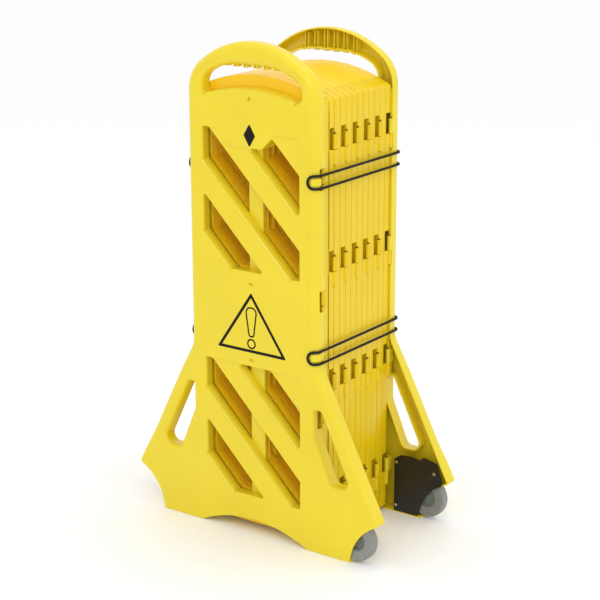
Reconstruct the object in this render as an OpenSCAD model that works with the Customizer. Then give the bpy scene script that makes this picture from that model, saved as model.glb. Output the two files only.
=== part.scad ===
// Portable folding crowd control barrier, folded: two end panels with feet and handles
// enclose twelve slatted inner panels, joined edge to edge by thirteen hinge lines.
// X runs right along the front panel, Y from front to rear, Z up. Millimetres.

/* [Overall] */
// Height to the top of the carrying handles
handle_top = 1016; // [900:1:1100]
// Half the width of an end panel's body
body_half = 157; // [140:1:175]
// Depth of one end panel
end_depth = 30; // [26:0.5:40]
// Distance from one inner panel to the next
pitch = 19.8; // [16:0.1:26]
// Half the gap left between neighbouring panels
gap = 0.3; // [0.2:0.05:0.5]

/* [End panel] */
// Thickness of the outer skin
skin = 4; // [3:0.5:6]
// Thickness of the perimeter walls and collars
wall = 4; // [3:0.5:6]
// Thickness of the stiffening ribs
rib = 3; // [2:0.5:5]
// Half the distance between the foot tips
foot_half = 305; // [280:1:320]
// Height of the foot tips above the floor
tip_z = 92; // [80:1:110]
// Half the distance between the outer corners of the feet on the floor
sole_out = 238.5; // [220:0.5:260]
// Half the width of the arch between the feet
sole_in = 134; // [110:1:160]
// Rise of the arch between the feet
arch_rise = 31; // [20:1:45]
// Height at which the feet flare out of the body
flare_z = 386; // [350:1:420]
// Half the width of the handle opening
grip_half = 120; // [100:1:130]
// Top of the handle opening
grip_top = 971; // [950:1:985]
// Height of the panel's top edge at the sides of the handle opening
crest_side = 907; // [890:1:925]
// Height of the panel's top edge at the middle of the handle opening
crest_mid = 925; // [905:1:940]

/* [Windows] */
// Half the width of the slatted windows
win_half = 118; // [100:1:130]
// Bottom of the upper window
win_hi = 562; // [540:1:580]
// Bottom of the lower window
win_lo = 84; // [70:1:100]
// Height of each window
win_h = 281; // [250:1:300]
// Height of the first slot's top edge above the window's lower left corner
slot_first = 149; // [120:1:180]
// Vertical distance from one slot to the next
slot_step = 147; // [120:1:170]
// Vertical height of each slot
slot_h = 80; // [60:1:95]
// Half the width of the upright post behind the slats
post_half = 17.5; // [12:0.5:25]

/* [Inner panels] */
// Distance of the hinge axes from the middle plane
hinge_x = 152.5; // [145:0.5:165]
// Underside of the inner panels above the floor
panel_z = 10; // [6:1:20]
// Top of the inner panels at the sides
panel_side = 914; // [890:1:930]
// Top of the inner panels at the middle
panel_mid = 948; // [920:1:965]
// Thickness of the inner panels' skin
panel_skin = 3.5; // [2.5:0.5:5]
// Thickness of the inner panels' walls
panel_wall = 4; // [3:0.5:5]

/* [Hinges] */
// Top of the highest hinge notch
notch_top = 858; // [840:1:880]
// Vertical distance between hinge rows
row_step = 242.6; // [220:0.2:260]
// Radius of the hinge knuckles
knuckle_r = 4.5; // [3.5:0.1:6]
// Radius of the hinge pins
pin_r = 2.4; // [1.5:0.1:3]
// Radial running clearance on the hinge pins and the wheel axles
fit = 0.05; // [0.02:0.01:0.1]
// Radial space round a knuckle in the panel facing it
relief = 0.5; // [0.4:0.1:1]
// Depth of the hinge notches into the panel edge
notch_x = 16; // [10:1:25]
// Width of the hinge notches across the panel's thickness
notch_y = 16; // [8:0.5:17]

/* [Wheels] */
// Radius of the wheels
wheel_r = 43; // [35:1:50]
// Distance of the wheel axles from the middle plane
wheel_x = 249; // [240:1:260]
// Height of the wheel axles: the wheels clear the floor until the barrier is tilted
wheel_z = 48; // [43:1:55]
// Width of the tyres
tyre_w = 20; // [16:1:22]
// Radius where the tyre meets the hub
hub_r = 22; // [20:1:30]
// Radius of the axles
axle_r = 4; // [3:0.5:6]
// Thickness of the black cover plates
plate_t = 2.7; // [2:0.1:3]

/* [Cords] */
// Radius of the elastic cords
cord_r = 2.6; // [2:0.1:4]
// Height of the upper cords' hooks
cord_hi = 762; // [740:1:780]
// Height of the lower cords' hooks
cord_lo = 411; // [390:1:430]
// Half the distance between the two strands of a cord
strand = 12.5; // [10:0.5:16]

/* [Hidden] */
panels = 12;
rows = 4;
stack = panels * pitch;
y_front = -(stack / 2 + end_depth);
depth_in = end_depth - gap;
edge_r = 16;
yellow = "#F4D62C";
black = "#26221C";
wheel_grey = "#9AA3A5";
hub_grey = "#6E7470";
steel = "#B9BCC0";

// Corner lists hold [x, z, radius] and run anticlockwise.
function unit(v) = v / norm(v);
function left(v) = [-v[1], v[0]];
function xy(c) = [c[0], c[1]];
function turn(a, b) = a[0] * b[1] - a[1] * b[0];
function steps(r) = r < 6 ? 3 : r < 30 ? 5 : 9;

// Moves every side of a corner list inwards by d, keeping its curves parallel.
function inset(c, d) = [for (i = [0 : len(c) - 1])
    let (n = len(c), p = xy(c[i]),
         a = unit(p - xy(c[(i + n - 1) % n])), b = unit(xy(c[(i + 1) % n]) - p),
         s = (left(a) + left(b)) / (1 + a * b), q = p + s * d, r = c[i][2])
    [q[0], q[1], r == 0 ? 0 : turn(a, b) > 0 ? max(r - d, 0) : max(r + d, 0)]];

function arc(p0, p1, p2, r) = r < 0.05 ? [p1] :
    let (u = unit(p0 - p1), v = unit(p2 - p1), h = acos(u * v) / 2,
         m = p1 + unit(u + v) * r / sin(h),
         s = p1 + u * r / tan(h) - m, f = p1 + v * r / tan(h) - m,
         a0 = atan2(s[1], s[0]), d = atan2(turn(s, f), s * f), n = steps(r))
    [for (k = [0 : n]) m + r * [cos(a0 + d * k / n), sin(a0 + d * k / n)]];

function loop(c) = [for (i = [0 : len(c) - 1])
    for (p = arc(xy(c[(i + len(c) - 1) % len(c)]), xy(c[i]), xy(c[(i + 1) % len(c)]), c[i][2])) p];

function flip(c) = [for (i = [len(c) - 1 : -1 : 0]) [-c[i][0], c[i][1], c[i][2]]];

// Extrudes an X-Z drawing from depth y0 to depth y1.
module slab(y0, y1) {
    translate([0, y1, 0]) rotate([90, 0, 0]) linear_extrude(height = y1 - y0) children();
}

module shape(c) { polygon(loop(c)); }

// ---- end panel outline ----
arch_turn = 2 * atan(arch_rise / sole_in);
arch_r = sole_in / sin(arch_turn);
arc_r = 109;
heel = [243.9, 60];
crown_x = 63;
shoulder_z = 950.2;
right_side = [[sole_in, 0, 0], [sole_out, 0, 0], [heel[0], heel[1], arc_r],
    [foot_half, tip_z, 5], [body_half, flare_z, 60], [body_half, shoulder_z, 75],
    [crown_x, handle_top, 198]];
outline = concat(right_side, flip(right_side),
    [[0, sole_in * tan(arch_turn), 0.98 * arch_r]]);

crest_turn = 2 * atan((crest_mid - crest_side) / grip_half);
crest_r = grip_half / sin(crest_turn);
handle_hole = [[grip_half, crest_side, 6], [grip_half, grip_top - 28, 35], [68, grip_top, 150],
    [-68, grip_top, 150], [-grip_half, grip_top - 28, 35], [-grip_half, crest_side, 6],
    [0, crest_side + grip_half * tan(crest_turn), crest_r * 0.92]];

// Hand grip through a foot
side_grip = [[152, 302, 4], [152, 245, 30], [192, 151, 12], [240, 151, 16], [167, 302, 6]];

function window(z) = [[-win_half, z, 10], [win_half, z, 10],
    [win_half, z + win_h, 10], [-win_half, z + win_h, 10]];

badge_tab = [[-84, win_hi + win_h + 5, 0], [-50, 811, 4], [28, 811, 4], [52, 834, 6],
    [62, win_hi + win_h + 5, 0]];

// One slanting slot, grown by g on every side
module slot(z, k, g) {
    top = z - win_half + slot_first + slot_step * k;
    intersection() {
        shape(inset(window(z), -g));
        translate([0, top]) rotate(-45)
            translate([-600, -slot_h * sin(45) - g])
                square([1200, slot_h * sin(45) + 2 * g]);
    }
}

module slots(z, g) {
    for (k = [0 : 2]) slot(z, k, g);
}

module panel_slots(g) {
    difference() {
        slots(win_hi, g);
        shape(inset(badge_tab, g));
    }
    slots(win_lo, g);
}

module grips(g) {
    shape(inset(side_grip, -g));
    shape(inset(flip(side_grip), -g));
}

module end_cavity() {
    difference() {
        slab(skin + 1, end_depth + 5) shape(inset(outline, wall));
        for (s = [-1, 1]) side_edge(s) cylinder(h = edge_high - edge_low, r = edge_r, $fn = 64);
    }
    for (s = [-1, 1]) side_edge(s) translate([0, 0, -1])
        cylinder(h = edge_high - edge_low + 2, r = edge_r - wall, $fn = 64);
}

// Places a piece at the centre of the body's rounded upright edge on side s
edge_low = 390;
edge_high = 925;

module side_edge(s) {
    translate([s * (body_half - edge_r), edge_r, edge_low]) children();
}

// What rounding takes off the body's upright edges
module edge_waste() {
    for (s = [-1, 1]) side_edge(s) difference() {
        translate([s > 0 ? 0 : -edge_r - 5, -edge_r - 5, 0])
            cube([edge_r + 5, edge_r + 5, edge_high - edge_low]);
        translate([0, 0, -1]) cylinder(h = edge_high - edge_low + 2, r = edge_r, $fn = 64);
    }
}

module end_ribs() {
    // upright ribs beside the windows
    for (s = [-1, 1]) translate([s * (win_half + 12) - rib / 2, skin, 30])
        cube([rib, depth_in - skin - 8, 860]);
    // cross ribs in the plain bands
    for (z = [400, 440, 480, 520, 880]) translate([-body_half + 2, skin, z])
        cube([2 * body_half - 4, depth_in - skin - 10, rib]);
    // short ribs inside the handle bar
    for (x = [-72 : 24 : 72]) translate([x - rib / 2, skin, grip_top - 5])
        cube([rib, depth_in - skin - 8, 60]);
    // slanting ribs in the feet
    for (s = [-1, 1]) translate([s * 190, skin, 100]) rotate([0, -s * 27, 0])
        translate([-rib / 2, 0, -100]) cube([rib, depth_in - skin - 10, 250]);
}

function row_z(j) = notch_top - row_step * j;

module bar(x, y, z0, z1, r) {
    translate([x, y, min(z0, z1)]) cylinder(h = abs(z1 - z0), r = r, $fn = 48);
}

// Vertical layout of one hinge, measured from the top of its notch
seat_top = -12;
seat_low = -42;
stub_low = -72;
notch_drop = 114;
block_in = 5.5;
end_reach = depth_in - edge_r;
panel_reach = 8;

// Draws its children once per hinge of the line: each sees its own heights measured down from
// the notch's top, or up from its bottom on the line under the front end panel.
module each_hinge(flipped) {
    for (j = [0 : rows - 1])
        translate([0, 0, flipped ? row_z(j) - notch_drop : row_z(j)]) mirror([0, 0, flipped ? 1 : 0])
            children();
}

// A knuckle round the axis (x, y) with a block reaching from y0 to y1 into its own panel,
// and outwards beyond the axis by out
module knuckle(x, y, y0, y1, z0, z1, out) {
    bar(x, y, z0, z1, knuckle_r);
    translate([x > 0 ? x - block_in : x - out, y0, z0]) cube([block_in + out, y1 - y0, z1 - z0]);
}

// Bores of radius r for the pins of one hinge line
module bores(s, y, flipped, r) {
    each_hinge(flipped) bar(s * hinge_x, y, stub_low - 1, seat_top + 3, r);
}

// Knuckles of the panel in front of a hinge line, holding the pins: on an inner panel they stay
// within its own edge, so that the panel behind can turn flat against it
module knuckles_a(s, y, flipped, reach, out) {
    each_hinge(flipped)
        knuckle(s * hinge_x, y, y - reach, y - gap, stub_low, seat_low - gap, out);
}

// Knuckles of the panel behind a hinge line, turning on the pins
module knuckles_b(s, y, flipped, reach) {
    each_hinge(flipped)
        knuckle(s * hinge_x, y, y + gap, y + reach, seat_low, seat_top, knuckle_r);
}

// Notches in the panel in front of a hinge line
module clear_a(s, y, flipped) {
    each_hinge(flipped)
        translate([s > 0 ? hinge_x - notch_x : -hinge_x - 6, y - notch_y, seat_low - gap])
            cube([notch_x + 6, notch_y + 5, gap - seat_low]);
}

// Hollows in the panel behind a hinge line, round the other panel's knuckles
module clear_b(s, y, flipped) {
    each_hinge(flipped) bar(s * hinge_x, y, stub_low - gap, seat_low, knuckle_r + relief);
}

module pins(i) {
    color(steel) each_hinge(i == 0)
        bar((i % 2 == 0 ? 1 : -1) * hinge_x, y_first + i * pitch, stub_low + 1, seat_top + 2, pin_r);
}

// End panel with its outer face at y = 0 and its open side towards +Y
module end_shell() {
    difference() {
        union() {
            difference() {
                union() {
                    slab(0, 1.6) shape(inset(outline, 6));
                    slab(1.6, 5) shape(inset(outline, 2.2));
                    slab(5, depth_in) shape(outline);
                }
                end_cavity();
            }
            intersection() {
                slab(skin, depth_in) shape(inset(outline, 2));
                end_ribs();
            }
            // collars round the openings
            slab(skin, depth_in) difference() {
                intersection() {
                    union() {
                        shape(inset(handle_hole, -wall));
                        grips(wall);
                    }
                    shape(inset(outline, 1));
                }
                shape(handle_hole);
                grips(0);
            }
            slab(skin, depth_in - 8) difference() {
                panel_slots(wall);
                panel_slots(0);
            }
            // upright post behind the slats
            for (z = [win_lo, win_hi]) translate([-post_half, depth_in - 10, z - 6])
                cube([2 * post_half, 10, win_h + 12]);
            // finger scallops under the handle
            for (x = [-60 : 24 : 60])
                translate([x, skin, grip_top + 7.5]) rotate([-90, 0, 0])
                    cylinder(h = depth_in - skin, r = 10, $fn = 32);
        }
        edge_waste();
        slab(-1, end_depth + 5) shape(inset(handle_hole, 3));
        slab(-1, skin + 1) shape(handle_hole);
        slab(-1, end_depth + 5) grips(0);
        slab(-1, depth_in - 10) panel_slots(0);
        // slats lie slightly behind the face
        slab(-1, 1.2) difference() {
            shape(window(win_hi));
            shape(badge_tab);
        }
        slab(-1, 1.2) shape(window(win_lo));
        // small moulded marks
        translate([0, -1, crest_side + 1]) rotate([-90, 0, 0]) cylinder(h = 2, r = 4, $fn = 24);
        for (z = [537, 379]) translate([-5, -1, z - 1.5]) cube([10, 2, 3]);
    }
}

// Wheel housing: clears the wheel and carries the axle and the cover plate
screw_at = [[178, 114], [271, 108], [178, 17]];

module housing_add() {
    intersection() {
        union() {
            for (p = screw_at) translate([p[0], skin, p[1]]) rotate([-90, 0, 0])
                cylinder(h = depth_in - plate_t - skin, r = 6, $fn = 32);
        }
        slab(0, depth_in) shape(inset(outline, 0.5));
    }
    translate([wheel_x, 0.6, wheel_z]) rotate([-90, 0, 0]) cylinder(h = 7, r = 8, $fn = 32);
}

module housing_cut() {
    difference() {
        translate([wheel_x, skin + 0.8, wheel_z]) rotate([-90, 0, 0])
            cylinder(h = end_depth, r = wheel_r + 3, $fn = 64);
        translate([wheel_x, 0, wheel_z]) rotate([-90, 0, 0]) cylinder(h = 7.6, r = 8, $fn = 32);
    }
    slab(depth_in - plate_t, end_depth + 5) shape(inset(plate, -0.2));
    translate([wheel_x, axle_y, wheel_z]) rotate([-90, 0, 0]) cylinder(h = end_depth, r = axle_r, $fn = 32);
    for (p = screw_at) translate([p[0], depth_in - 16, p[1]]) rotate([-90, 0, 0])
        cylinder(h = 20, r = 2, $fn = 24);
}

plate = [[172, 2, 2], [231, 2, 2], [248.5, 63.5, 98], [292, 85.5, 4], [277, 130, 5],
    [244, 138.5, 6], [234, 130, 8], [207, 133, 10], [186, 130.5, 4], [172, 120, 4]];

module plate_piece() {
    color(black) difference() {
        slab(depth_in - plate_t, depth_in) shape(plate);
        for (p = screw_at) translate([p[0], 0, p[1]]) rotate([-90, 0, 0])
            cylinder(h = end_depth + 5, r = 2, $fn = 24);
    }
}

module screws_piece() {
    color(steel) for (p = screw_at) translate([p[0], 0, p[1]]) rotate([-90, 0, 0]) {
        translate([0, 0, depth_in - 15]) cylinder(h = 15, r = 2, $fn = 24);
        translate([0, 0, depth_in]) cylinder(h = 1.6, r = 3.6, $fn = 32);
    }
}

module axle_piece() {
    color(steel) translate([wheel_x, axle_y, wheel_z]) rotate([-90, 0, 0])
        cylinder(h = tyre_y + tyre_w - hub_cap - 0.2 - axle_y, r = axle_r, $fn = 32);
}

axle_y = 1.5;
tyre_y = skin + 1.4;
hub_cap = 3;

module tyre_piece() {
    color(wheel_grey) translate([wheel_x, tyre_y, wheel_z]) rotate([-90, 0, 0])
        rotate_extrude($fn = 96) polygon([[hub_r, 1.5], [wheel_r - 4, 0], [wheel_r - 1.2, 1],
            [wheel_r, 4], [wheel_r, tyre_w - 4], [wheel_r - 1.2, tyre_w - 1],
            [wheel_r - 4, tyre_w], [hub_r, tyre_w - 1.5]]);
}

module hub_piece() {
    color(hub_grey) translate([wheel_x, tyre_y, wheel_z]) rotate([-90, 0, 0])
        rotate_extrude($fn = 96) polygon([[axle_r + fit, 3], [9, 3], [10, 5], [17, 5], [18.5, 1.5],
            [hub_r, 1.5], [hub_r, tyre_w - 1.5], [18.5, tyre_w - 1.5], [17, tyre_w - 3],
            [10, tyre_w - 3], [9, tyre_w - 0.6], [0, tyre_w - 0.6], [0, tyre_w - hub_cap],
            [axle_r + fit, tyre_w - hub_cap]]);
}

// Lugs the cords hook over: round the right front corner, and on the left side wall
module lugs() {
    for (z = [cord_hi, cord_lo]) {
        side_edge(1) translate([0, 0, z - lug_h / 2 - edge_low]) intersection() {
            cylinder(h = lug_h, r = edge_r + lug_t, $fn = 64);
            translate([lug_from, -edge_r - lug_t, 0]) cube([edge_r + lug_t - lug_from, edge_r + lug_t, lug_h]);
        }
        translate([-body_half - lug_t, edge_r + left_lug_y, z - lug_h / 2])
            cube([lug_t + wall / 2, left_lug_len, lug_h]);
    }
}

lug_t = 3;
lug_h = 15;
lug_from = 6.8;
left_lug_y = 4;
left_lug_len = 9;

// Places a piece on the front or the rear end panel
module at_front() { translate([0, y_front, 0]) children(); }
module at_rear() { translate([0, -y_front, 0]) mirror([0, 1, 0]) children(); }

y_first = y_front + end_depth;

module front_end_panel() {
    color(yellow) difference() {
        union() {
            difference() {
                at_front() difference() {
                    union() { end_shell(); housing_add(); lugs(); }
                    housing_cut();
                }
                clear_a(1, y_first, true);
            }
            knuckles_a(1, y_first, true, end_reach, knuckle_r);
        }
        bores(1, y_first, true, pin_r);
    }
}

module rear_end_panel() {
    color(yellow) difference() {
        union() {
            difference() {
                at_rear() difference() {
                    union() { end_shell(); housing_add(); }
                    housing_cut();
                }
                clear_b(1, -y_first, false);
                cord_slots();
            }
            knuckles_b(1, -y_first, false, end_reach);
        }
        bores(1, -y_first, false, pin_r + fit);
    }
}

panel_half = hinge_x - gap;
panel_turn = 2 * atan((panel_mid - panel_side) / panel_half);
panel_out = [[panel_half, panel_z, 3], [panel_half, panel_side, 8],
    [0, panel_side + panel_half * tan(panel_turn), panel_half / sin(panel_turn) * 0.94],
    [-panel_half, panel_side, 8], [-panel_half, panel_z, 3]];

module inner_slab() {
    back = pitch - gap;
    difference() {
        slab(gap, back) difference() {
            shape(panel_out);
            panel_slots(0);
        }
        slab(gap + panel_skin, back + 1) difference() {
            shape(inset(panel_out, panel_wall));
            panel_slots(panel_wall);
        }
    }
    intersection() {
        slab(gap + 1, back - 3) shape(inset(panel_out, 1));
        for (z = [400, 440, 480, 520, 880]) translate([-panel_half, 0, z])
            cube([2 * panel_half, pitch, rib]);
    }
    for (z = [win_lo, win_hi]) translate([-post_half, panel_skin, z - 6])
        cube([2 * post_half, 6, win_h + 12]);
}

// Inner panel k, counted from the front
module inner_panel(k) {
    y0 = y_first + (k - 1) * pitch;
    y1 = y0 + pitch;
    s0 = k % 2 == 1 ? 1 : -1;
    color(yellow) difference() {
        union() {
            difference() {
                translate([0, y0, 0]) inner_slab();
                clear_b(s0, y0, k == 1);
                clear_a(-s0, y1, false);
            }
            knuckles_b(s0, y0, k == 1, panel_reach);
            knuckles_a(-s0, y1, false, panel_reach, -gap);
        }
        bores(s0, y0, k == 1, pin_r + fit);
        bores(-s0, y1, false, pin_r);
    }
}

// ---- elastic cords ----
// Each cord leaves a slot in the rear panel's rounded edge, hooks over a front lug and returns.
lift = cord_r + 0.5;
wrap_r = edge_r + lift;
run = 2 * (-y_front - edge_r);
dive_r = 11;
dive_at = 35;
// How far past the start of the front corner a cord turns back: round it on the right only
function hook_reach(s) = s > 0 ? 18.3 : -10;

// A point on the body's rounded side at angle a from the side's outward direction
function on_edge(a, sy, s) = let (c = -y_front - edge_r)
    [[s * (body_half - edge_r + wrap_r * cos(a)), sy * (c + wrap_r * sin(a))], [s * cos(a), sy * sin(a)]];

// The stretch that dives into the rear edge's slot
function on_dive(a, s) =
    let (m = on_edge(dive_at, 1, s)[0] - dive_r * [s * cos(dive_at), sin(dive_at)])
    [m + dive_r * [s * cos(a), sin(a)], [s * cos(a), sin(a)]];

// A point u past the start of the front corner, along the cord's own line
function past_corner(u, s) = u > 0 ? on_edge(u / wrap_r * 180 / PI, -1, s)
    : [[s * (body_half + lift), y_front + edge_r - u], [s, 0]];

function strand_way(s) = concat(
    [let (p = on_dive(180, s)) [p[0] - [0, 4], p[1]]],
    [for (a = [180 : -24 : dive_at]) on_dive(a, s)],
    [for (a = [24, 12, 0]) on_edge(a, 1, s)],
    [for (k = [1 : 3]) [[s * (body_half + lift), run * (0.5 - k / 4)], [s, 0]]],
    [for (u = [0 : 3.66 : hook_reach(s) - 1]) past_corner(u, s)]);

// The half turn round the lug: b runs from +90 to -90
function on_hook(b, z, s) =
    let (q = past_corner(hook_reach(s) + strand * cos(b), s))
    [[q[0][0], q[0][1], z + strand * sin(b)], [q[1][0], q[1][1], 0]];

function raise(q, z) = [[q[0][0], q[0][1], z], [q[1][0], q[1][1], 0]];

function cord_path(z, s) = let (w = strand_way(s)) concat(
    [for (q = w) raise(q, z + strand)],
    [for (b = [90 : -18 : -90]) on_hook(b, z, s)],
    [for (i = [len(w) - 1 : -1 : 0]) raise(w[i], z - strand)]);

// Slots in the rear panel's rounded edges that the cords go into
module cord_slots() {
    for (s = [-1, 1]) for (z = [cord_hi, cord_lo]) for (w = [-strand, strand])
        translate([s > 0 ? slot_from : -slot_from - slot_len, -y_front - slot_deep, z + w - cord_r - 0.4])
            cube([slot_len, slot_deep + 2, 2 * cord_r + 0.8]);
}

slot_from = 133;
slot_len = 19;
slot_deep = 18;

module tube(path, r, sides) {
    n = len(path);
    rings = [for (i = [0 : n - 1])
        let (t = unit(path[min(i + 1, n - 1)][0] - path[max(i - 1, 0)][0]),
             m0 = path[i][1], m = unit(m0 - t * (m0 * t)), b = cross(t, m))
        for (k = [0 : sides - 1]) path[i][0] + r * (m * cos(360 * k / sides) + b * sin(360 * k / sides))];
    polyhedron(points = rings, faces = concat(
        [[for (k = [sides - 1 : -1 : 0]) k]],
        [for (i = [0 : n - 2]) for (k = [0 : sides - 1]) let (a = i * sides + k, b = i * sides + (k + 1) % sides)
            [a, b, b + sides]],
        [for (i = [0 : n - 2]) for (k = [0 : sides - 1]) let (a = i * sides + k, b = i * sides + (k + 1) % sides)
            [a, b + sides, a + sides]],
        [[for (k = [0 : sides - 1]) (n - 1) * sides + k]]));
}

module cord(z, s) { color(black) tube(cord_path(z, s), cord_r, 8); }

// ---- printed marks ----
mark_t = 0.3;
tri_z = 394.5;
tri_h = 125;
tri_half = 86;
tri = [[-tri_half, tri_z, 2], [tri_half, tri_z, 2], [0, tri_z + tri_h, 2]];
stem = [[-7, 427, 5.5], [7, 427, 5.5], [16, 490, 12.5], [-16, 490, 12.5]];
line = 3.2;
dot_r = 10.8;
plain_mark = [[0, 813, 2], [14, 836, 2], [0, 859, 2], [-14, 836, 2]];

module warning_sign() {
    color(black) slab(-mark_t, 0) {
        difference() {
            shape(tri);
            shape(inset(tri, 6));
        }
        difference() {
            shape(stem);
            shape(inset(stem, line));
        }
        translate([0, 413]) difference() {
            circle(r = dot_r, $fn = 48);
            circle(r = dot_r - line, $fn = 48);
        }
    }
}

module badge() {
    color(black) slab(-mark_t, 0) shape(plain_mark);
}

front_end_panel();
rear_end_panel();
inner_panel(1);  // panel_01
inner_panel(2);  // panel_02
inner_panel(3);  // panel_03
inner_panel(4);  // panel_04
inner_panel(5);  // panel_05
inner_panel(6);  // panel_06
inner_panel(7);  // panel_07
inner_panel(8);  // panel_08
inner_panel(9);  // panel_09
inner_panel(10);  // panel_10
inner_panel(11);  // panel_11
inner_panel(12);  // panel_12
pins(0);  // hinge_pins_00
pins(1);  // hinge_pins_01
pins(2);  // hinge_pins_02
pins(3);  // hinge_pins_03
pins(4);  // hinge_pins_04
pins(5);  // hinge_pins_05
pins(6);  // hinge_pins_06
pins(7);  // hinge_pins_07
pins(8);  // hinge_pins_08
pins(9);  // hinge_pins_09
pins(10);  // hinge_pins_10
pins(11);  // hinge_pins_11
pins(12);  // hinge_pins_12
at_front() tyre_piece();  // front_tyre
at_front() hub_piece();  // front_hub
at_front() axle_piece();  // front_axle
at_front() plate_piece();  // front_cover_plate
at_front() screws_piece();  // front_plate_screws
at_rear() tyre_piece();  // rear_tyre
at_rear() hub_piece();  // rear_hub
at_rear() axle_piece();  // rear_axle
at_rear() plate_piece();  // rear_cover_plate
at_rear() screws_piece();  // rear_plate_screws
cord(cord_hi, 1);  // cord_upper_right
cord(cord_lo, 1);  // cord_lower_right
cord(cord_hi, -1);  // cord_upper_left
cord(cord_lo, -1);  // cord_lower_left
at_front() warning_sign();  // front_warning_sign
at_rear() warning_sign();  // rear_warning_sign
at_front() badge();  // front_badge
at_rear() badge();  // rear_badge
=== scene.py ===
"""Folded crowd control barrier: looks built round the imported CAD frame.

Drawings are in millimetres in the plane of the panels (x right, z up);
d is the depth behind an end panel's outer face.
"""
import math

import bmesh
import bpy
from mathutils import Matrix, Vector
from mathutils.geometry import delaunay_2d_cdt


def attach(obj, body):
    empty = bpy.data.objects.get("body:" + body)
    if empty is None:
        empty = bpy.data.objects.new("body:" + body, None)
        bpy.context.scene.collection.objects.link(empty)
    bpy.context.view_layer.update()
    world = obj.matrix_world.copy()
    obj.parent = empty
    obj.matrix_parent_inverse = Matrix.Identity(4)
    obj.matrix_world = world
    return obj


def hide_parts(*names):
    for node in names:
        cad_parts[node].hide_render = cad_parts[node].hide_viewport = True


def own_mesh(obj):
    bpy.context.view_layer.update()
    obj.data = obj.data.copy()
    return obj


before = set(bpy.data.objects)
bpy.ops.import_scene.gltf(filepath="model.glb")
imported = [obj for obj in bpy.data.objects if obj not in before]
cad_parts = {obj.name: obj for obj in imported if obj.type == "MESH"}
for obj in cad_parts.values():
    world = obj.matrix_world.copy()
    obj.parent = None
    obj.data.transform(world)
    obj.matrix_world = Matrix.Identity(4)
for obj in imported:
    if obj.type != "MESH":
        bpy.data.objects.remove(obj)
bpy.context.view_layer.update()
MM = 0.001

# ---- sizes repeated from part.scad, in millimetres ----
HALF_DEPTH = 148.8  # outer faces of the end panels from the middle plane
END_D = 29.7  # depth of an end panel
GAP = 0.3  # between the knuckles of a hinge
EDGE_R = 16  # rounding of the body's upright corners
BODY_X = 157  # half the body's width
HINGE_X = 152.5  # hinge lines from the middle
NOTCH_TOP = 858  # top of the highest hinge notch
ROW_STEP = 242.6  # from one row of hinges to the next
WIN_X = 118  # half the width of a window
WIN_H = 281
WIN_HI, WIN_LO = 562, 84  # the windows' lower edges
SLOT_BAND = 80  # upright height of a slanting slot
SLOT_FIRST, SLOT_STEP = 31, 147  # top of a window's first slot on the middle line, and the step up
SLOT_R = 4
TAB_Z = 811  # lower edge of the tab that carries the badge
TAB_LEFT, TAB_RIGHT = 28, 52.4  # where the tab's edge meets the highest slot
POST_X = 17.5  # half the width of the post behind the slots
WHEEL = (249, 48)
WHEEL_R = 43
CORD_R = 2.6
CORD_Z = {"upper": 762, "lower": 411}
STRAND = 12.5  # a cord's two strands from its middle height


# ---- camera and light ----
CAMERA_ANGLES = (35.82, 16.35, -0.15)  # azimuth, elevation and roll, fitted to the photograph
CAMERA_AIM, CAMERA_DISTANCE = (0.0065, 0, 0.4794), 3.536
CAMERA_LENS, CAMERA_SENSOR, CAMERA_SHIFT = 103.2, 36, (0.0042, -0.0072)
FLOOR_HALF = 12
LIGHTS = {  # place, aim, size and watts
    "key": ((1.5, -2.4, 3.0), (0, 0, 0.55), (0.7, 0.7), 15),
    "side": ((3.4, -0.6, 1.7), (0, 0, 0.5), (0.6, 0.9), 4),
    "top": ((0.3, 0.2, 3.2), (0, 0, 0.5), (0.9, 0.9), 8),
}


def make_camera():
    azimuth, elevation, roll = (math.radians(a) for a in CAMERA_ANGLES)
    level = math.cos(elevation)
    back = Vector((math.sin(azimuth) * level, -math.cos(azimuth) * level, math.sin(elevation)))
    data = bpy.data.cameras.new("camera")
    data.sensor_width = CAMERA_SENSOR
    data.lens = CAMERA_LENS
    data.shift_x, data.shift_y = CAMERA_SHIFT
    data.clip_start, data.clip_end = 0.1, 100
    cam = bpy.data.objects.new("camera", data)
    bpy.context.scene.collection.objects.link(cam)
    cam.location = Vector(CAMERA_AIM) + back * CAMERA_DISTANCE
    cam.rotation_mode = "QUATERNION"
    level_view = (-back).to_track_quat("-Z", "Y")
    cam.rotation_quaternion = level_view @ Matrix.Rotation(roll, 3, "Z").to_quaternion()
    bpy.context.scene.camera = cam


def area_light(name, at, to, size, watts):
    data = bpy.data.lights.new(name, "AREA")
    data.shape = "RECTANGLE"
    data.size, data.size_y = size
    data.energy = watts
    light = bpy.data.objects.new(name, data)
    light.location = at
    light.rotation_mode = "QUATERNION"
    light.rotation_quaternion = (Vector(to) - Vector(at)).to_track_quat("-Z", "Y")
    bpy.context.scene.collection.objects.link(light)


def make_studio():
    scene = bpy.context.scene
    scene.view_settings.view_transform = "Standard"
    world = bpy.data.worlds.new("studio")
    scene.world = world
    world.use_nodes = True
    background = world.node_tree.nodes["Background"]
    background.inputs["Color"].default_value = (1, 1, 1, 1)
    background.inputs["Strength"].default_value = 1.0
    for name, (at, to, size, watts) in LIGHTS.items():
        area_light(name, at, to, size, watts)
    floor = bpy.data.meshes.new("floor")
    s = FLOOR_HALF
    floor.from_pydata([(-s, -s, 0), (s, -s, 0), (s, s, 0), (-s, s, 0)], [], [(0, 1, 2, 3)])
    obj = bpy.data.objects.new("floor", floor)
    scene.collection.objects.link(obj)
    white = surface("floor_white", (0.98, 0.98, 0.98), 0.7, spread=0.01, grain=40, bump=0)
    obj.data.materials.append(white)


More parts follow.
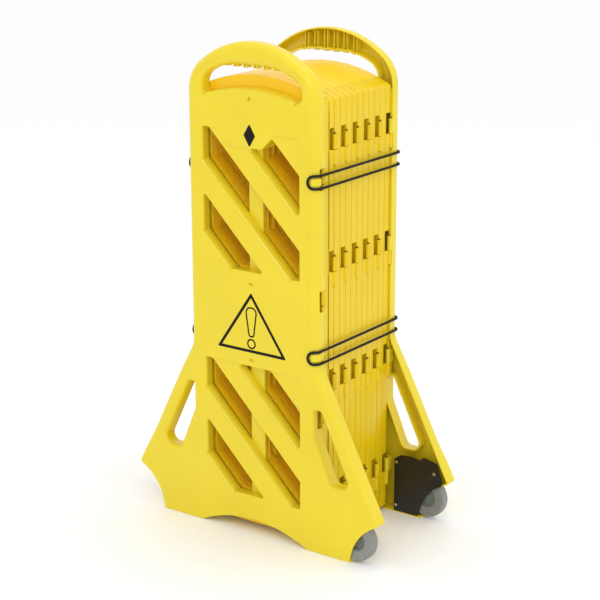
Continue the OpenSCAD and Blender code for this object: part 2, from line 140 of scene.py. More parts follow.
# ---- materials ----
PATCH_EDGES = (0.3, 0.7)  # where in the noise the two tones of a colour lie
ROUGH_SPAN = (0.9, 1.12)  # roughness of the patches, as shares of the finish's own
COAT_ROUGH = 0.12
RELIEF_HEIGHT = 0.001


def surface(name, colour, rough, spread=0.04, grain=9, bump=0.02, bump_scale=900,
            metal=0, coat=0, specular=0.5, inner=None):
    """A procedural finish: colour varies by spread over patches grain per metre, with fine bump.

    Between the sides of the windows, the colour is inner where that is given: painted bounce light, a
    lighter and more orange tone standing in for light bounced about inside the slots.
    """
    mat = bpy.data.materials.new(name)
    mat.use_nodes = True
    nodes, links = mat.node_tree.nodes, mat.node_tree.links
    shader = nodes["Principled BSDF"]
    coords = nodes.new("ShaderNodeTexCoord")
    patches = nodes.new("ShaderNodeTexNoise")
    patches.inputs["Scale"].default_value = grain
    patches.inputs["Detail"].default_value = 4
    links.new(coords.outputs["Object"], patches.inputs["Vector"])
    ramp = nodes.new("ShaderNodeValToRGB")
    dark, light = ramp.color_ramp.elements
    dark.position, light.position = PATCH_EDGES
    dark.color = (*[c * (1 - spread) for c in colour], 1)
    light.color = (*[min(1, c * (1 + spread)) for c in colour], 1)
    links.new(patches.outputs["Fac"], ramp.inputs["Fac"])
    links.new(ramp.outputs["Color"], shader.inputs["Base Color"])
    fine = nodes.new("ShaderNodeTexNoise")
    fine.inputs["Scale"].default_value = bump_scale
    fine.inputs["Detail"].default_value = 3
    links.new(coords.outputs["Object"], fine.inputs["Vector"])
    span = nodes.new("ShaderNodeMapRange")
    for socket, share in zip(("To Min", "To Max"), ROUGH_SPAN):
        span.inputs[socket].default_value = rough * share
    links.new(patches.outputs["Fac"], span.inputs["Value"])
    links.new(span.outputs["Result"], shader.inputs["Roughness"])
    if bump:
        relief = nodes.new("ShaderNodeBump")
        relief.inputs["Strength"].default_value = bump
        relief.inputs["Distance"].default_value = RELIEF_HEIGHT
        links.new(fine.outputs["Fac"], relief.inputs["Height"])
        links.new(relief.outputs["Normal"], shader.inputs["Normal"])
    shader.inputs["Metallic"].default_value = metal
    shader.inputs["Coat Weight"].default_value = coat
    shader.inputs["Coat Roughness"].default_value = COAT_ROUGH
    shader.inputs["Specular IOR Level"].default_value = specular
    # painted bounce light: all within the windows' width, which shows through the slots, takes the
    # lighter orange inner colour
    if inner:
        kinds = ("SeparateXYZ", "Math", "Math", "Mix")
        place, side, bounce_light_mask, mix = (nodes.new("ShaderNode" + kind) for kind in kinds)
        side.operation, bounce_light_mask.operation, mix.data_type = "ABSOLUTE", "LESS_THAN", "RGBA"
        bounce_light_mask.inputs[1].default_value = (WIN_X + 2) * MM
        links.new(coords.outputs["Object"], place.inputs[0])
        links.new(place.outputs["X"], side.inputs[0])
        links.new(side.outputs[0], bounce_light_mask.inputs[0])
        links.new(bounce_light_mask.outputs[0], mix.inputs["Factor"])
        links.new(ramp.outputs["Color"], mix.inputs[6])
        mix.inputs[7].default_value = (*inner, 1)
        links.new(mix.outputs[2], shader.inputs["Base Color"])
    return mat


def ink(name, colour, rough):
    """Printed or painted black: grain shows as faint mottling in gloss and tone."""
    return surface(name, colour, rough, spread=0.25, grain=160, bump=0.05, bump_scale=1500,
                   specular=0.15)


# ---- drawing ----
SHARP = 0.05  # a corner of a smaller radius than this isn't rounded
ARC_STEP = 12  # the longest step along an arc
SAME_POINT = 0.02
MITRE = 0.35  # limits how far a sharp corner's point moves


def sub(a, b):
    return (a[0] - b[0], a[1] - b[1])


def unit(v):
    n = math.hypot(*v)
    return (v[0] / n, v[1] / n)


def turn(a, b):
    return a[0] * b[1] - a[1] * b[0]


def arc(p0, p1, p2, r, fine):
    """The corner p1 between p0 and p2 rounded by r, with a point every fine degrees."""
    if r < SHARP:
        return [tuple(p1)]
    u, v = unit(sub(p0, p1)), unit(sub(p2, p1))
    h = math.acos(max(-1, min(1, u[0] * v[0] + u[1] * v[1]))) / 2
    b = unit((u[0] + v[0], u[1] + v[1]))
    m = (p1[0] + b[0] * r / math.sin(h), p1[1] + b[1] * r / math.sin(h))
    t = r / math.tan(h)
    s = (p1[0] + u[0] * t - m[0], p1[1] + u[1] * t - m[1])
    f = (p1[0] + v[0] * t - m[0], p1[1] + v[1] * t - m[1])
    a0 = math.atan2(s[1], s[0])
    d = math.atan2(turn(s, f), s[0] * f[0] + s[1] * f[1])
    n = max(3, math.ceil(abs(d) / math.radians(fine)), math.ceil(abs(d) * r / ARC_STEP))
    angles = [a0 + d * k / n for k in range(n + 1)]
    return [(m[0] + r * math.cos(a), m[1] + r * math.sin(a)) for a in angles]


def loop(corners, step=14, fine=9):
    """A rounded polygon from corners [x, z, radius], with points no further apart than step."""
    n = len(corners)
    raw = []
    for i, (x, z, r) in enumerate(corners):
        raw += arc(corners[i - 1][:2], (x, z), corners[(i + 1) % n][:2], r, fine)
    out = []
    for i, p in enumerate(raw):
        q = raw[(i + 1) % len(raw)]
        parts = max(1, math.ceil(math.hypot(q[0] - p[0], q[1] - p[1]) / step))
        out += [(p[0] + (q[0] - p[0]) * k / parts, p[1] + (q[1] - p[1]) * k / parts)
                for k in range(parts)]
    clean = []
    for p in out:
        if not clean or math.hypot(*sub(p, clean[-1])) > SAME_POINT:
            clean.append(p)
    return clean


def flip(corners):
    return [(-c[0], c[1], c[2]) for c in reversed(corners)]


def inward(points, hole=False):
    """For each point of an anticlockwise loop, the step that moves both its sides by 1 into it.

    For a hole the step goes outwards, into the material round it.
    """
    n, out = len(points), []
    for i in range(n):
        a, b = unit(sub(points[i], points[i - 1])), unit(sub(points[(i + 1) % n], points[i]))
        k = max(1 + a[0] * b[0] + a[1] * b[1], MITRE)
        m = ((-a[1] - b[1]) / k, (a[0] + b[0]) / k)
        out.append((-m[0], -m[1]) if hole else m)
    return out


def inside(p, poly):
    x, z, hit = p[0], p[1], False
    for i in range(len(poly)):
        (x0, z0), (x1, z1) = poly[i - 1], poly[i]
        if (z0 > z) != (z1 > z) and x < x0 + (z - z0) * (x1 - x0) / (z1 - z0):
            hit = not hit
    return hit


def near(p, poly, closed=True):
    """Distance from p to a chain of points."""
    best = 1e9
    for i in range(0 if closed else 1, len(poly)):
        a, b = poly[i - 1], poly[i]
        d = sub(b, a)
        along = (p[0] - a[0]) * d[0] + (p[1] - a[1]) * d[1]
        t = max(0, min(1, along / max(1e-9, d[0] ** 2 + d[1] ** 2)))
        best = min(best, math.hypot(p[0] - a[0] - t * d[0], p[1] - a[1] - t * d[1]))
    return best


def ease(x, x0, x1):
    """Rises smoothly from 0 at x0 to 1 at x1."""
    t = max(0, min(1, (x - x0) / (x1 - x0)))
    return t * t * (3 - 2 * t)


JOIN_WITHIN, NO_LENGTH = 2e-6, 1e-7  # metres
SMOOTH_ANGLE = 40  # sharper edges stay sharp


class Mesh:
    """Collects points (x, d, z) in millimetres and faces, then becomes an object."""

    def __init__(self):
        self.points, self.faces = [], []

    def add(self, points):
        start = len(self.points)
        self.points += points
        return list(range(start, start + len(points)))

    def bridge(self, a, b):
        n = len(a)
        self.faces += [(a[i], a[(i + 1) % n], b[(i + 1) % n], b[i]) for i in range(n)]

    def cap(self, ring):
        self.faces.append(tuple(ring))

    def fill(self, loops, depth, lines=()):
        """Covers the area inside the first loop and outside the others, at depth(x, z)."""
        flat, edges = [], []
        for points in loops:
            start = len(flat)
            flat += points
            n = len(points)
            edges += [(start + i, start + (i + 1) % n) for i in range(n)]
        for points in lines:
            start = len(flat)
            flat += points
            edges += [(start + i, start + i + 1) for i in range(len(points) - 1)]
        made = delaunay_2d_cdt([Vector(p) for p in flat], edges, [], 0, 1e-5)
        ids = self.add([(p[0], depth(p[0], p[1]), p[1]) for p in made[0]])
        for face in made[2]:
            mid = (sum(made[0][i][0] for i in face) / 3, sum(made[0][i][1] for i in face) / 3)
            if inside(mid, loops[0]) and not any(inside(mid, hole) for hole in loops[1:]):
                self.faces.append(tuple(ids[i] for i in face))

    def box(self, low, high, round_by=0.6):
        """A box with bevelled edges, joined into this mesh."""
        bm = bmesh.new()
        bmesh.ops.create_cube(bm, size=1)
        for v in bm.verts:
            v.co = Vector([(a + b) / 2 + c * (b - a) for a, b, c in zip(low, high, v.co)])
        bmesh.ops.bevel(bm, geom=bm.edges[:], offset=round_by, segments=2, profile=0.5,
                        affect="EDGES")
        self.take(bm)

    def take(self, bm):
        ids = self.add([tuple(v.co) for v in bm.verts])
        self.faces += [tuple(ids[v.index] for v in f.verts) for f in bm.faces]
        bm.free()

    def prism(self, outline, z0, z1, round_by=0.5):
        """An upright prism on an anticlockwise outline [(x, d)], with its ends' edges rounded."""
        rings = []
        for inset, z in ((round_by, z0), (0, z0 + round_by), (0, z1 - round_by), (round_by, z1)):
            rings.append(self.add([(p[0] + m[0] * inset, p[1] + m[1] * inset, z)
                                   for p, m in zip(outline, inward(outline))]))
        for a, b in zip(rings, rings[1:]):
            self.bridge(a, b)
        self.cap(rings[0][::-1])
        self.cap(rings[-1])

    def object(self, name, material, place, body=None, replaces=(), slot=None, carve=None):
        """Makes the object, moved by place, with the mesh carve cut out of it."""
        mesh = bpy.data.meshes.new(name)
        mesh.from_pydata([tuple(c * MM for c in place(p)) for p in self.points], [], self.faces)
        bm = bmesh.new()
        bm.from_mesh(mesh)
        bmesh.ops.remove_doubles(bm, verts=bm.verts, dist=JOIN_WITHIN)
        bmesh.ops.dissolve_degenerate(bm, edges=bm.edges, dist=NO_LENGTH)
        loose = [v for v in bm.verts if not v.link_faces]
        bmesh.ops.delete(bm, geom=loose, context="VERTS")
        bmesh.ops.recalc_face_normals(bm, faces=bm.faces)
        bm.to_mesh(mesh)
        bm.free()
        mesh.materials.append(material)
        obj = bpy.data.objects.new(name, mesh)
        bpy.context.scene.collection.objects.link(obj)
        if carve:
            tool = carve.object(name + "_tool", material, place)
            cut = obj.modifiers.new("cut", "BOOLEAN")
            cut.object, cut.operation, cut.solver = tool, "DIFFERENCE", "EXACT"
            bpy.context.view_layer.update()
            evaluated = obj.evaluated_get(bpy.context.evaluated_depsgraph_get())
            mesh = bpy.data.meshes.new_from_object(evaluated)
            obj.modifiers.clear()
            obj.data = mesh
            bpy.data.objects.remove(tool)
        mesh.polygons.foreach_set("use_smooth", [True] * len(mesh.polygons))
        mesh.set_sharp_from_angle(angle=math.radians(SMOOTH_ANGLE))
        weighted = obj.modifiers.new("normals", "WEIGHTED_NORMAL")
        weighted.keep_sharp = True
        weighted.weight = 90
        if body:
            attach(obj, body)
        if replaces:
            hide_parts(*replaces)
        return obj


def at_front(p):
    return (p[0], p[1] - HALF_DEPTH, p[2])


def at_rear(p):
    return (p[0], HALF_DEPTH - p[1], p[2])


# ---- outlines: corners are (x, z, radius) ----
SOLE_IN, SOLE_OUT, ARCH_RISE = 134, 238.5, 31
RIGHT_SIDE = [(SOLE_IN, 0, 0), (SOLE_OUT, 0, 0), (243.9, 60, 109), (305, 92, 5), (BODY_X, 386, 60),
              (BODY_X, 950.2, 75), (63, 1016, 198)]


def crown(half, z, rise, share):
    """The corner of an arch that rises so far over a chord of 2 half, with share of its radius."""
    angle = 2 * math.atan(rise / half)
    return (0, z + half * math.tan(angle), share * half / math.sin(angle))


OUTLINE = RIGHT_SIDE + flip(RIGHT_SIDE) + [crown(SOLE_IN, 0, ARCH_RISE, 0.98)]
HOLE_X, HOLE_Z = 120, 907  # lower corners of the carrying handle's opening
HANDLE_HOLE = [(HOLE_X, HOLE_Z, 8), (HOLE_X, 943, 35), (68, 971, 150), (-68, 971, 150),
               (-HOLE_X, 943, 35), (-HOLE_X, HOLE_Z, 8), crown(HOLE_X, HOLE_Z, 18, 0.92)]
SIDE_GRIP = [(152, 302, 4), (152, 245, 30), (192, 151, 12), (240, 151, 16), (167, 302, 6)]
BADGE_TAB = [(-84, 848), (-50, TAB_Z), (TAB_LEFT, TAB_Z), (52, 834), (62, 848)]


def clip(poly, a, b, c):
    """The part of a convex polygon where a x + b z <= c."""
    out = []
    for i in range(len(poly)):
        p, q = poly[i - 1], poly[i]
        fp, fq = a * p[0] + b * p[1] - c, a * q[0] + b * q[1] - c
        if (fp <= 0) != (fq <= 0):
            t = fp / (fp - fq)
            out.append((p[0] + (q[0] - p[0]) * t, p[1] + (q[1] - p[1]) * t))
        if fq <= 0:
            out.append(q)
    return out


def slot_loops():
    """The six slanting slots, anticlockwise."""
    out = []
    for low in (WIN_HI, WIN_LO):
        for k in range(3):
            top = low + SLOT_FIRST + SLOT_STEP * k
            poly = [(-WIN_X, low), (WIN_X, low), (WIN_X, low + WIN_H), (-WIN_X, low + WIN_H)]
            poly = clip(clip(poly, 1, 1, top), -1, -1, SLOT_BAND - top)
            if low == WIN_HI and k == 2:
                poly = [(WIN_X, top - SLOT_BAND - WIN_X), (WIN_X, top - WIN_X),
                        (TAB_RIGHT, top - TAB_RIGHT), (TAB_LEFT, TAB_Z),
                        (top - SLOT_BAND - TAB_Z, TAB_Z)]
            out.append(loop([(*p, SLOT_R) for p in poly]))
    return out


# rounding of a slot's edge by the angle of the way into the material, most above the slats
SLOT_ROUNDING = [(0, 2.2), (45, 1.8), (90, 1.6), (135, 3), (180, 6), (225, 12), (270, 3.5),
                 (315, 3), (360, 2.2)]


def slot_bevels(points):
    """How far each point's edge is rounded."""
    out = []
    for m in inward(points, True):
        angle = math.degrees(math.atan2(m[1], m[0])) % 360
        for (a0, v0), (a1, v1) in zip(SLOT_ROUNDING, SLOT_ROUNDING[1:]):
            if a0 <= angle <= a1:
                out.append(v0 + (v1 - v0) * (angle - a0) / (a1 - a0))
                break
    return out


RECESS, RECESS_FADE = 2.2, 190  # depth of the windows at their tops, and the height it fades over
STEP_W = 0.9  # width of the step at their borders
STEP_POINTS = 3
CLEAR_OF_SLOT = 0.5
BORDER_X, BORDER_DROP = 102, 76  # where the borders' left and right ends meet a slot


def recess(x, z):
    """Depth of the window area behind the face: greatest at the windows' top edges."""
    for low in (WIN_HI, WIN_LO):
        top = low + WIN_H
        if abs(x) < WIN_X and low < z < top:
            s = min(WIN_X - abs(x), top - z)
            if low == WIN_HI:
                s = 0 if inside((x, z), BADGE_TAB) else min(s, near((x, z), BADGE_TAB, False))
            fade = max(0, min(1, (z - top + RECESS_FADE) / RECESS_FADE))
            return RECESS * fade * max(0, min(1, s / STEP_W))
    return 0


def border_chains(low, g):
    """A window's raised border, moved into the window by g, where slots don't cut it."""
    top, edge = low + WIN_H, WIN_X - g
    if low == WIN_LO:
        return [[(-BORDER_X, top - g), (-38, top - g)],
                [(46, top - g), (edge, top - g), (edge, top - BORDER_DROP)]]
    h = g * 0.8
    return [[(-BORDER_X, top - g), (-80 - h, top - g), (-50 - h, TAB_Z - g), (20, TAB_Z - g)],
            [(TAB_RIGHT + h, 834 - h), (59 + h, top - g), (edge, top - g), (edge, top - BORDER_DROP)]]


def step_lines(rings):
    """Pairs of lines along the windows' raised borders, clear of the slots' rims."""
    out = []
    windows = [(low, g) for low in (WIN_HI, WIN_LO) for g in (0, STEP_W)]
    for chain in [c for low, g in windows for c in border_chains(low, g)]:
        dense = []
        for a, b in zip(chain, chain[1:]):
            n = max(1, round(math.hypot(b[0] - a[0], b[1] - a[1]) / STEP_POINTS))
            dense += [(a[0] + (b[0] - a[0]) * k / n, a[1] + (b[1] - a[1]) * k / n)
                      for k in range(n)]
        run = []
        for p in dense + [chain[-1], None]:
            if p and not any(inside(p, ring) or near(p, ring) < CLEAR_OF_SLOT for ring in rings):
                run.append(p)
            else:
                if len(run) > 1:
                    out.append(run)
                run = []
    return out


GRIP_X, GRIP_STEP, GRIP_R, GRIP_HANG = 60, 24, 10, 7.5  # the finger grips under the handle


def scallop(x):
    """How far the finger grips hang below the handle's underside."""
    c = min(range(-GRIP_X, GRIP_X + 1, GRIP_STEP), key=lambda k: abs(x - k))
    return max(0, math.sqrt(max(0, GRIP_R ** 2 - (x - c) ** 2)) - GRIP_HANG)


# ---- end panels ----
WALL, FLOOR = 3.6, 4.2  # thickness of the rim, and depth of the hollow's floor
LIP = 0.3  # rounding of the rim's edge
BEVEL_STEPS, INNER_STEPS = 8, 4
WHEEL_EDGE, WHEEL_RIM, WHEEL_SPACE = 1.4, 5.4, 3  # the thin edge of the face in front of a wheel


def outline_bevel(z):
    """Width and depth of the outline's rounded front edge: widest along the body and the handle."""
    if z < 1:
        return 2, 2
    foot, body, handle = ease(z, 120, 175), ease(z, 300, 400), ease(z, 930, 975)
    return 3 + 8 * foot + 6 * body + 1.5 * handle, 3 + 7 * foot + 6 * body - 2 * handle


def hole_bevel(x, z):
    """The same for the handle's opening, which is rounder along the handle."""
    if abs(x) > 116 or z > 935:
        grip = ease(z, 905, 935)
        return 7 + 9 * grip, 7 + 5 * grip
    return 7, 7


def rows(points, move, bevels, rim, inner):
    """Rings of one edge, from the face round the rim and down to the hollow's floor."""
    out = []
    for j in range(BEVEL_STEPS + 1):
        t = math.pi / 2 * j / BEVEL_STEPS
        out.append([(w * (1 - math.sin(t)), d * (1 - math.cos(t))) for w, d in bevels])
    for inset, back in ((0, 1), (LIP, LIP), (1, 0), (WALL - 1, 0), (WALL - LIP, LIP), (WALL, 1)):
        out.append([(inset, r - back) for r in rim])
    for j in range(INNER_STEPS + 1):
        t = math.pi / 2 * (1 - j / INNER_STEPS)
        out.append([(WALL + v * (1 - math.sin(t)),
                     min(r - 1 - 0.02 * j, FLOOR + min(v, d) * (1 - math.cos(t))))
                    for v, (_, d), r in zip(inner, bevels, rim)])
    return [[(p[0] + m[0] * i, d, p[1] + m[1] * i) for p, m, (i, d) in zip(points, move, row)]
            for row in out]


def hang(p):
    """Moves a point of the handle's underside down into the finger grips."""
    over = 950 < p[2] < 985 and abs(p[0]) < 74 and p[1] > 2
    return (p[0], p[1], p[2] - scallop(p[0]) * ease(p[1], 9, 15)) if over else p


def sink(p):
    """Moves a point of a slot's front edge back with the recessed window."""
    return (p[0], p[1] + recess(p[0], p[2]) if p[1] < 14 else p[1], p[2])


SLOT_RIM = END_D - 8
MARK_Z, MARK_X, MARK_H = (537, 379), 5.5, 2.8  # the small moulded marks, and half their sizes
DOT_R = 4.2
MARK_RINGS = ((0.4, 0), (0.1, 0.1), (0, 0.4), (-0.1, 3.4))


def shell_mesh():
    """An end panel's hollow shell: face, rims, window recesses and blind marks."""
    mesh = Mesh()
    front, back = [], []

    def run(points, hole, bevels, rim, inner, shift=None):
        made = rows(points, inward(points, hole), bevels, rim, inner)
        if shift:
            made = [[shift(p) for p in ring] for ring in made]
        ids = [mesh.add(ring) for ring in made]
        for a, b in zip(ids, ids[1:]):
            mesh.bridge(a, b)
        front.append([(p[0], p[2]) for p in made[0]])
        back.append([(p[0], p[2]) for p in made[-1]])

    outline = loop(OUTLINE, 12, 5)
    by_wheel = [math.hypot(*sub(p, WHEEL)) < WHEEL_R + WHEEL_SPACE and p[1] > 0.5 for p in outline]
    bevels = [(WHEEL_EDGE, WHEEL_EDGE) if w else outline_bevel(p[1])
              for p, w in zip(outline, by_wheel)]
    rim = [WHEEL_RIM if w else END_D for w in by_wheel]
    inner = [0.4 if w else 0.72 * b[0] if p[1] < 925 else 9.5
             for p, b, w in zip(outline, bevels, by_wheel)]
    run(outline, False, bevels, rim, inner)
    hole = loop(HANDLE_HOLE, 2.5, 5)
    n = len(hole)
    run(hole, True, [hole_bevel(*p) for p in hole], [END_D] * n, [7.5] * n, hang)
    for corners in (SIDE_GRIP, flip(SIDE_GRIP)):
        grip = loop(corners, 8, 8)
        n = len(grip)
        run(grip, True, [(8, 9)] * n, [END_D] * n, [2] * n)
    for points in slot_loops():
        n = len(points)
        bevels = [(w, w * (0.8 + 0.8 * ease(w, 3, 12))) for w in slot_bevels(points)]
        run(points, True, bevels, [SLOT_RIM] * n, [1] * n, sink)
    marks = [[(-MARK_X, z - MARK_H, 1), (MARK_X, z - MARK_H, 1), (MARK_X, z + MARK_H, 1),
              (-MARK_X, z + MARK_H, 1)] for z in MARK_Z]
    angles = [a * math.tau / 8 for a in range(8)]
    marks.append([(DOT_R * math.cos(a), HOLE_Z + DOT_R * math.sin(a), 1.2) for a in angles])
    for corners in marks:
        points = loop(corners, 4, 20)
        move = inward(points, True)
        rings = [[(p[0] + m[0] * i, d, p[1] + m[1] * i) for p, m in zip(points, move)]
                 for i, d in MARK_RINGS]
        ids = [mesh.add(ring) for ring in rings]
        for a, b in zip(ids, ids[1:]):
            mesh.bridge(a, b)
        mesh.cap(ids[-1])
        front.append([(p[0], p[2]) for p in rings[0]])
    mesh.fill(front, recess, step_lines(front[4:]))
    mesh.fill(back, lambda x, z: FLOOR)
    return mesh


RIB, RIB_FROM = 3, 4  # thickness of the ribs, and the depth at which they start
STRIP_X, STRIP_TOP, STRIP_LOW = 152, 905, 380


def structure_mesh(closed):
    """Ribs and posts behind the face of an end panel, and where closed, strips along its rim."""
    mesh = Mesh()
    for s in (-1, 1):
        x = s * (WIN_X + 12)
        mesh.box((x - RIB / 2, RIB_FROM, 40), (x + RIB / 2, 21, 890))
    for z in (400, 440, 480, 520, 880):
        mesh.box((-BODY_X + 6, RIB_FROM, z), (BODY_X - 6, 19, z + RIB))
    for low in (WIN_LO, WIN_HI):
        mesh.box((-POST_X, 19.7, low - 6), (POST_X, END_D, low + WIN_H + 6), 2)
    if closed:
        # the strips stay clear of the neighbour's knuckles
        spans = heights(False, STUB_LOW - 2, SEAT_LOW + 2)
        ends = [STRIP_TOP] + [z for low, high in spans for z in (high, low)] + [STRIP_LOW]
        for s in (-1, 1):
            for high, low in zip(ends[::2], ends[1::2]):
                if high - low > 20:
                    mesh.box((s * STRIP_X - 2, 18, max(low, STRIP_LOW + 5)),
                             (s * STRIP_X + 2, END_D - 0.2, high))
    for x in range(-GRIP_X, GRIP_X + 1, GRIP_STEP):
        for side in (-3.5, 3.5):
            mesh.box((x + side - 1, RIB_FROM, 966), (x + side + 1, 22, 1011 - 0.0025 * x * x))
    return mesh


# ---- hinges ----
ROWS = 4
SEAT_TOP, SEAT_LOW, STUB_LOW, NOTCH_DROP = -12, -42, -72, 114
NOTCH_X, NOTCH_Y = 16, 16
KNUCKLE_R, RELIEF, PROUD = 4.5, 0.5, 0.35  # the knuckles stand slightly proud of the wall
KNUCKLE_IN = 147  # inner side of a knuckle's block
LINE_D = 30  # depth of an end panel's hinge line


def heights(flipped, a, b):
    """The spans of height a to b from the notches' tops, or flipped, from their bottoms."""
    for j in range(ROWS):
        top = NOTCH_TOP - ROW_STEP * j
        span = (top - NOTCH_DROP - a, top - NOTCH_DROP - b) if flipped else (top + a, top + b)
        yield min(span), max(span)


def disc(x, d, r, start=0, end=360, n=28):
    """An arc of a circle about (x, d), closed where it goes all the way round."""
    full = end - start == 360
    angles = [math.radians(start + (end - start) * k / n) for k in range(n + (not full))]
    return [(x + r * math.cos(a), d + r * math.sin(a)) for a in angles]


def end_hinges(front):
    """The knuckles of an end panel's own hinge line, and the space cut for its neighbour's."""
    knuckles, space = Mesh(), Mesh()
    r = KNUCKLE_R + PROUD
    outline = [(KNUCKLE_IN, EDGE_R), (HINGE_X + r, EDGE_R), *disc(HINGE_X, LINE_D, r, 0, 180, 14),
               (KNUCKLE_IN, END_D - 0.1)]
    span = (STUB_LOW, SEAT_LOW - GAP) if front else (SEAT_LOW, SEAT_TOP)
    for low, high in heights(front, *span):
        knuckles.prism(outline, low, high)
    if front:
        for low, high in heights(True, SEAT_LOW - GAP, 0):
            space.box((HINGE_X - NOTCH_X, LINE_D - NOTCH_Y, low),
                      (HINGE_X + 8, LINE_D + 5, high), 0.8)
    else:
        for low, high in heights(False, STUB_LOW - GAP, SEAT_LOW):
            space.prism(disc(HINGE_X, LINE_D, KNUCKLE_R + RELIEF), low, high)
    return knuckles, space


# ---- elastic cords ----
WRAP_R = EDGE_R + CORD_R + 0.5
DIVE_R, DIVE_AT = 11, 35  # bend into the rear panel's slot, and how far round the corner it starts
RIGHT_REACH, LEFT_REACH = 18.3, -10  # where the hooks turn, past the start of the front corner
LUG_T, LUG_H = 3, 15


def on_edge(angle, front, s):
    """A point (x, y) of a cord's line on the body's rounded corner, and the way outwards there."""
    a = math.radians(angle)
    c = HALF_DEPTH - EDGE_R
    out = (s * math.cos(a), front * math.sin(a))
    return (s * (BODY_X - EDGE_R) + WRAP_R * out[0], front * c + WRAP_R * out[1]), out


def past_corner(u, s):
    """The point u past the start of the front corner, or before it where u is negative."""
    if u > 0:
        return on_edge(math.degrees(u / WRAP_R), -1, s)[0]
    return s * (BODY_X - EDGE_R + WRAP_R), EDGE_R - HALF_DEPTH - u


def cord_route(z, s):
    """Out of the rear panel's slot, along the side, round the lug and back, as in part.scad."""
    turn_at, out = on_edge(DIVE_AT, 1, s)
    middle = (turn_at[0] - DIVE_R * out[0], turn_at[1] - DIVE_R * out[1])
    way = [(middle[0] - s * DIVE_R, middle[1] - 4)]
    for k in range(5):
        a = math.radians(180 + (DIVE_AT - 180) * k / 4)
        way.append((middle[0] + DIVE_R * s * math.cos(a), middle[1] + DIVE_R * math.sin(a)))
    way += [on_edge(a, 1, s)[0] for a in (18, 0)]
    run = 2 * (HALF_DEPTH - EDGE_R)
    way += [(s * (BODY_X - EDGE_R + WRAP_R), run * (0.5 - k / 4)) for k in (1, 2, 3)]
    reach = RIGHT_REACH if s > 0 else LEFT_REACH
    if s > 0:
        way += [past_corner(u, s) for u in (0, 6.1, 12.2)]
    hook = []
    for b in range(90, -91, -30):
        x, y = past_corner(reach + STRAND * math.cos(math.radians(b)), s)
        hook.append((x, y, z + STRAND * math.sin(math.radians(b))))
    points = [(*p, z + STRAND) for p in way] + hook + [(*p, z - STRAND) for p in reversed(way)]
    return [Vector(p) * MM for p in points]


def tube(points, radius, sides=14, fine=4):
    """A rounded tube on a smooth curve through the points."""
    smooth = []
    for i in range(len(points) - 1):
        a, b, c, d = (points[max(0, min(len(points) - 1, i + k))] for k in (-1, 0, 1, 2))
        for k in range(fine):
            t = k / fine
            smooth.append(0.5 * (2 * b + (c - a) * t + (2 * a - 5 * b + 4 * c - d) * t ** 2
                                 + (3 * b - a - 3 * c + d) * t ** 3))
    smooth.append(points[-1])
    bm = bmesh.new()
    rings, across = [], Vector((0, 0, 1))
    for i, p in enumerate(smooth):
        along = (smooth[min(i + 1, len(smooth) - 1)] - smooth[max(i - 1, 0)]).normalized()
        across = (across - along * across.dot(along)).normalized()
        other = along.cross(across)
        rings.append([bm.verts.new(p + radius * (across * math.cos(a) + other * math.sin(a)))
                      for a in (math.tau * k / sides for k in range(sides))])
    for a, b in zip(rings, rings[1:]):
        for k in range(sides):
            bm.faces.new((a[k], a[(k + 1) % sides], b[(k + 1) % sides], b[k]))
    bm.faces.new(rings[0][::-1])
    bm.faces.new(rings[-1])
    return bm


def make_cords(material):
    for height, z in CORD_Z.items():
        for side, s in (("right", 1), ("left", -1)):
            name = f"cord_{height}_{side}"
            route = cord_route(z, s)
            mesh = bpy.data.meshes.new("elastic_" + name)
            bm = tube(route, CORD_R * MM)
            bmesh.ops.recalc_face_normals(bm, faces=bm.faces)
            bm.to_mesh(mesh)
            bm.free()
            mesh.polygons.foreach_set("use_smooth", [True] * len(mesh.polygons))
            mesh.materials.append(material)
            obj = bpy.data.objects.new("elastic_" + name, mesh)
            bpy.context.scene.collection.objects.link(obj)
            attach(obj, "rear_end")
            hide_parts(name)
            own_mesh(obj)


def lug_mesh():
    """The front panel's lugs: round the right corner, and on the left wall."""
    mesh = Mesh()
    for z in CORD_Z.values():
        x, d = BODY_X - EDGE_R, EDGE_R
        outer = disc(x, d, EDGE_R + LUG_T, -69, -4, 10)
        mesh.prism(outer + disc(x, d, EDGE_R - 2, -4, -69, 10), z - LUG_H / 2, z + LUG_H / 2, 0.8)
        mesh.box((-BODY_X - LUG_T, 20, z - LUG_H / 2), (-BODY_X + 2, 29, z + LUG_H / 2), 1.2)
    return mesh


# ---- pieces kept from the CAD ----
CAD_SMOOTH = 35  # degrees: sharper edges are rounded, or stay sharp


def smooth_group():
    """Geometry nodes that shade smooth except over sharp edges."""
    group = bpy.data.node_groups.new("smooth_by_angle", "GeometryNodeTree")
    group.interface.new_socket("Geometry", in_out="INPUT", socket_type="NodeSocketGeometry")
    group.interface.new_socket("Geometry", in_out="OUTPUT", socket_type="NodeSocketGeometry")
    nodes, links = group.nodes, group.links
    start, end = nodes.new("NodeGroupInput"), nodes.new("NodeGroupOutput")
    faces, edges = (nodes.new("GeometryNodeSetShadeSmooth") for _ in range(2))
    faces.domain, edges.domain = "FACE", "EDGE"
    angle = nodes.new("GeometryNodeInputMeshEdgeAngle")
    less = nodes.new("FunctionNodeCompare")
    less.data_type, less.operation = "FLOAT", "LESS_THAN"
    less.inputs[1].default_value = math.radians(CAD_SMOOTH)
    links.new(angle.outputs["Unsigned Angle"], less.inputs[0])
    links.new(start.outputs[0], faces.inputs["Geometry"])
    links.new(faces.outputs["Geometry"], edges.inputs["Geometry"])
    links.new(less.outputs["Result"], edges.inputs["Shade Smooth"])
    links.new(edges.outputs["Geometry"], end.inputs[0])
    return group


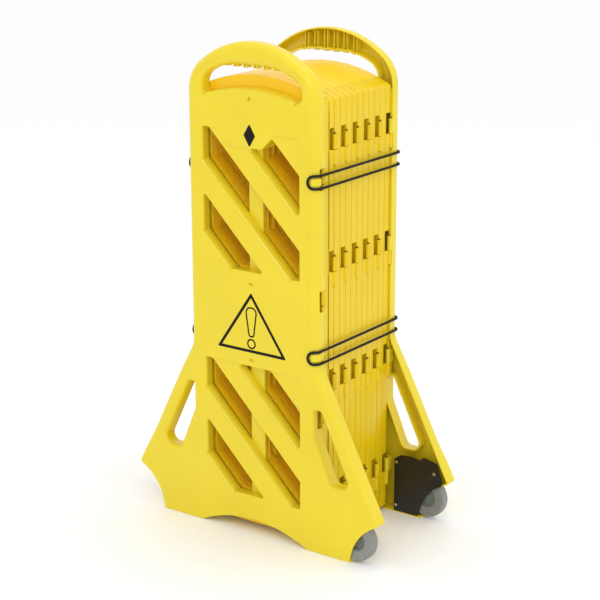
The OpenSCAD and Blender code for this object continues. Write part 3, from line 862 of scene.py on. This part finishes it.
def finish_cad(obj, material, bevel, group):
    """Gives a CAD piece its material and rounds its sharp edges by bevel millimetres."""
    obj.data.materials.clear()
    obj.data.materials.append(material)
    weld = obj.modifiers.new("weld", "WELD")
    weld.merge_threshold = 0.01 * MM
    if bevel:
        rounding = obj.modifiers.new("rounding", "BEVEL")
        rounding.width = bevel * MM
        rounding.segments = 2
        rounding.limit_method = "ANGLE"
        rounding.angle_limit = math.radians(CAD_SMOOTH)
        rounding.use_clamp_overlap = False
    shade = obj.modifiers.new("shade", "NODES")
    shade.node_group = group
    normals = obj.modifiers.new("normals", "WEIGHTED_NORMAL")
    normals.keep_sharp = True
    normals.weight = 80


def make_end(side, place, yellow):
    """Replaces an end panel with its finer shell, ribs and knuckles."""
    body = side + "_end"
    knuckles, space = end_hinges(side == "front")
    shell_mesh().object(side + "_shell", yellow, place, body, [side + "_end_panel"],
                        "shell_plastic", carve=space)
    structure_mesh(side == "rear").object(side + "_ribs", yellow, place, body, slot="shell_plastic")
    knuckles.object(side + "_knuckles", yellow, place, body, slot="shell_plastic")
    if side == "front":
        lug_mesh().object("front_lugs", yellow, place, body, slot="shell_plastic")


make_camera()
make_cords(surface("elastic_black", (0.016, 0.014, 0.012), 0.75, spread=0.35, grain=900, bump=0.6,
                   bump_scale=1400, specular=0.25))
make_studio()
yellow = surface("moulded_yellow", (0.80, 0.63, 0.018), 0.3, spread=0.03, grain=6, bump=0.012,
                 bump_scale=700, coat=0.2, specular=0.35)
# the inner colour here is painted bounce light: lighter and more orange on the panels behind the
# windows
panel_yellow_painted_bounce = surface("panel_yellow_painted_bounce", (0.80, 0.565, 0.004), 0.34, spread=0.03, grain=6, bump=0.012,
                       bump_scale=700, coat=0.1, specular=0.3, inner=(0.98, 0.63, 0.01))
pin = surface("pin_steel", (0.16, 0.14, 0.11), 0.45, spread=0.12, grain=300, bump=0.05, metal=1)
tyre = surface("tyre_grey", (0.24, 0.25, 0.24), 0.55, spread=0.1, grain=120, bump=0.15,
               bump_scale=500)
hub = surface("hub_grey", (0.13, 0.155, 0.14), 0.4, spread=0.08, grain=90, bump=0.08)
axle = surface("axle_steel", (0.5, 0.5, 0.5), 0.28, spread=0.1, grain=200, bump=0.05, metal=1)
plate = surface("plate_black", (0.017, 0.015, 0.013), 0.34, spread=0.2, grain=40, bump=0.04,
                specular=0.4)
screw = surface("screw_zinc", (0.62, 0.62, 0.6), 0.25, spread=0.1, grain=400, bump=0.05, metal=1)
sign = ink("sign_ink", (0.008, 0.006, 0.004), 0.5)
badge = ink("badge_ink", (0.008, 0.006, 0.004), 0.5)
# material and rounding for the nodes whose names contain the word
FINISHES = {"panel_": (panel_yellow_painted_bounce, 1.5), "hinge_pins_": (pin, 0), "_tyre": (tyre, 0.5),
            "_hub": (hub, 0.5), "_axle": (axle, 0), "_cover_plate": (plate, 0.6),
            "_plate_screws": (screw, 0.4), "_warning_sign": (sign, 0), "_badge": (badge, 0)}
SOFTER = ("panel_01", "panel_02")  # the two panels whose edges show most through the front windows
SOFTER_BEVEL = 2.4
group = smooth_group()
for node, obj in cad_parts.items():
    for key, (material, bevel) in FINISHES.items():
        if key in node and not node.endswith("_end_panel"):
            finish_cad(obj, material, SOFTER_BEVEL if node in SOFTER else bevel, group)
for side, place in (("front", at_front), ("rear", at_rear)):
    make_end(side, place, yellow)
